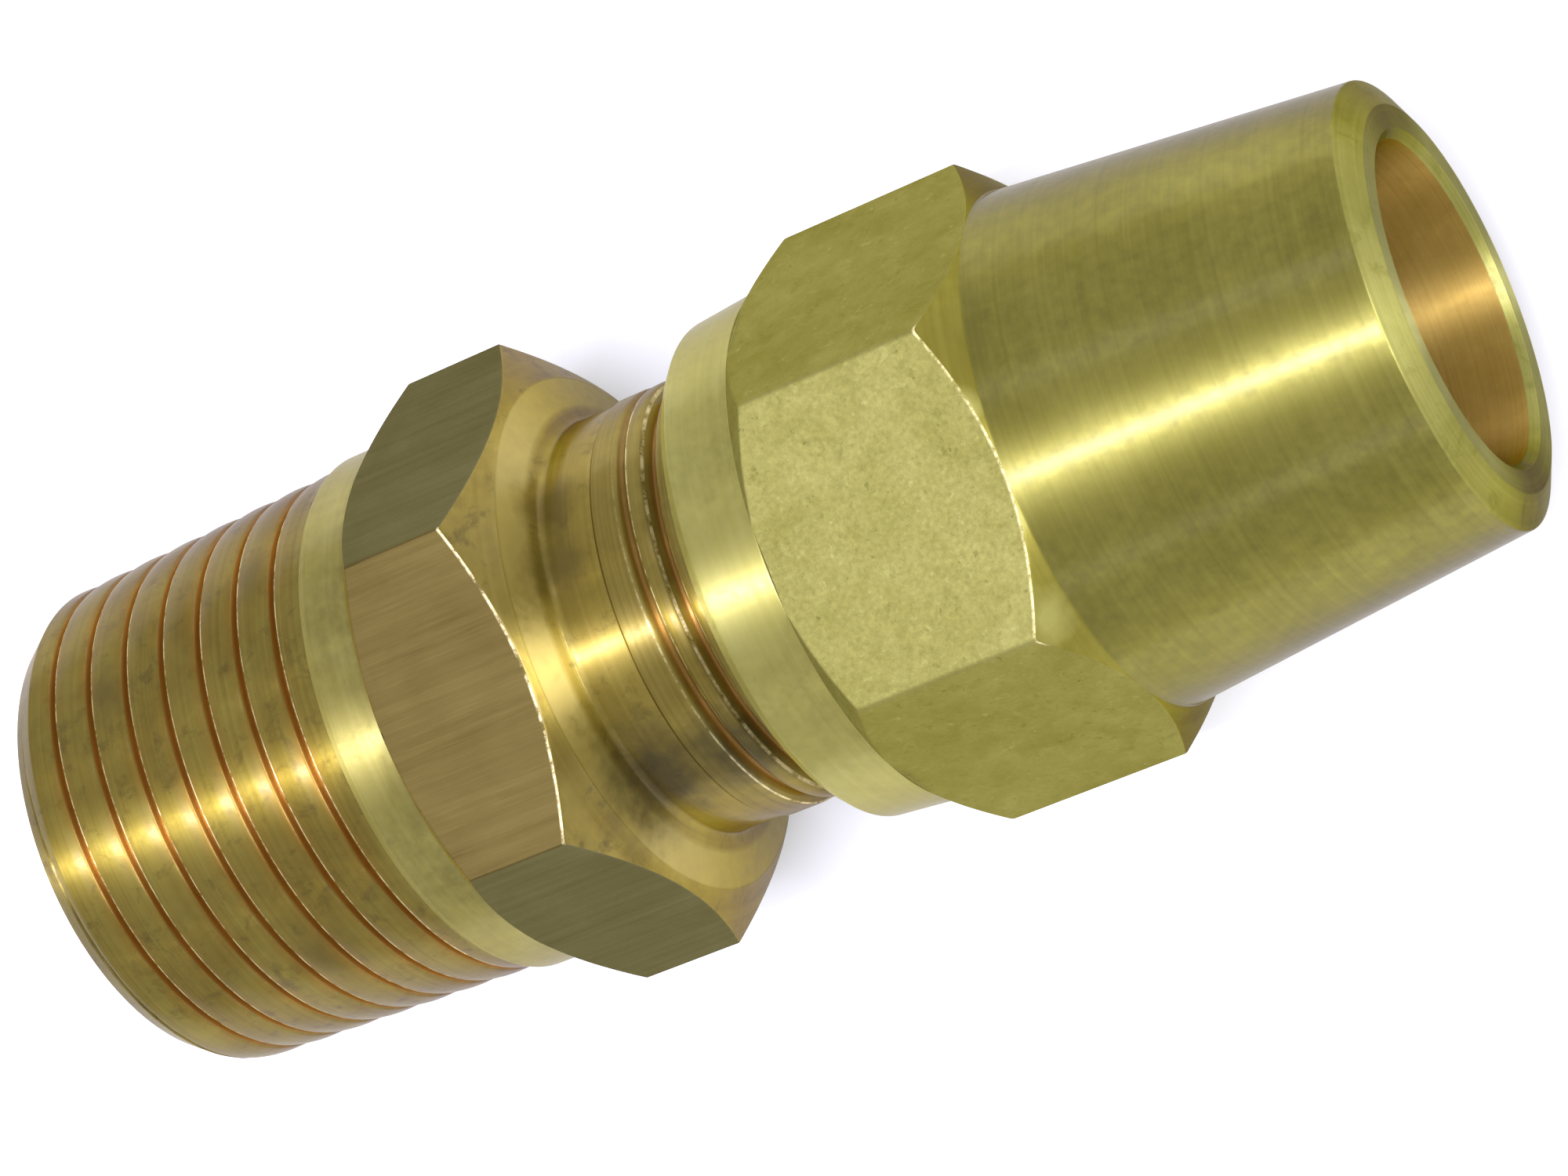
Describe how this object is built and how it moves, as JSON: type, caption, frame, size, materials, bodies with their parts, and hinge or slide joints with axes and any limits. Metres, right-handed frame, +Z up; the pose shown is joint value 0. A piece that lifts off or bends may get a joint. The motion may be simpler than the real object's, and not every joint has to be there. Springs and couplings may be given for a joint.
{
  "type": "flare fitting",
  "caption": "Straight brass flare fitting: taper pipe thread and hex body at one end, long hex flare nut for copper tube at the other.",
  "frame": {"origin": "centre of the pipe end's face, on the fitting's axis", "axes": "+X along the fitting's axis from the pipe end to the flare nut's sleeve, +Z up out of the body hexagon's upper flat, the opposite flat underneath"},
  "size_m": [0.059, 0.0254, 0.022],
  "materials": {
    "body_brass": "turned from drawn bar, lightly tarnished",
    "nut_brass": "forged and turned, lightly tarnished",
    "gasket_copper": "soft annealed copper, satin"
  },
  "bodies": {
    "connector": {"connector_body": "body_brass"},
    "gasket": {"flare_gasket": "gasket_copper"},
    "nut": {"flare_nut": "nut_brass"}
  },
  "joints": [
    {"name": "gasket_travel", "type": "slide", "parent": "connector", "child": "gasket", "axis": [1, 0, 0], "range_m": [-0.00128, 0.00509]},
    {"name": "nut_turn", "type": "hinge", "parent": "gasket", "child": "nut", "pos_m": [0, 0, 0], "axis": [1, 0, 0], "range_deg": [-360, 1440]}
  ],
  "couplings": [
    {"joint": "gasket_travel", "follows": "nut_turn", "m_per_rad": 0.00020213}
  ]
}
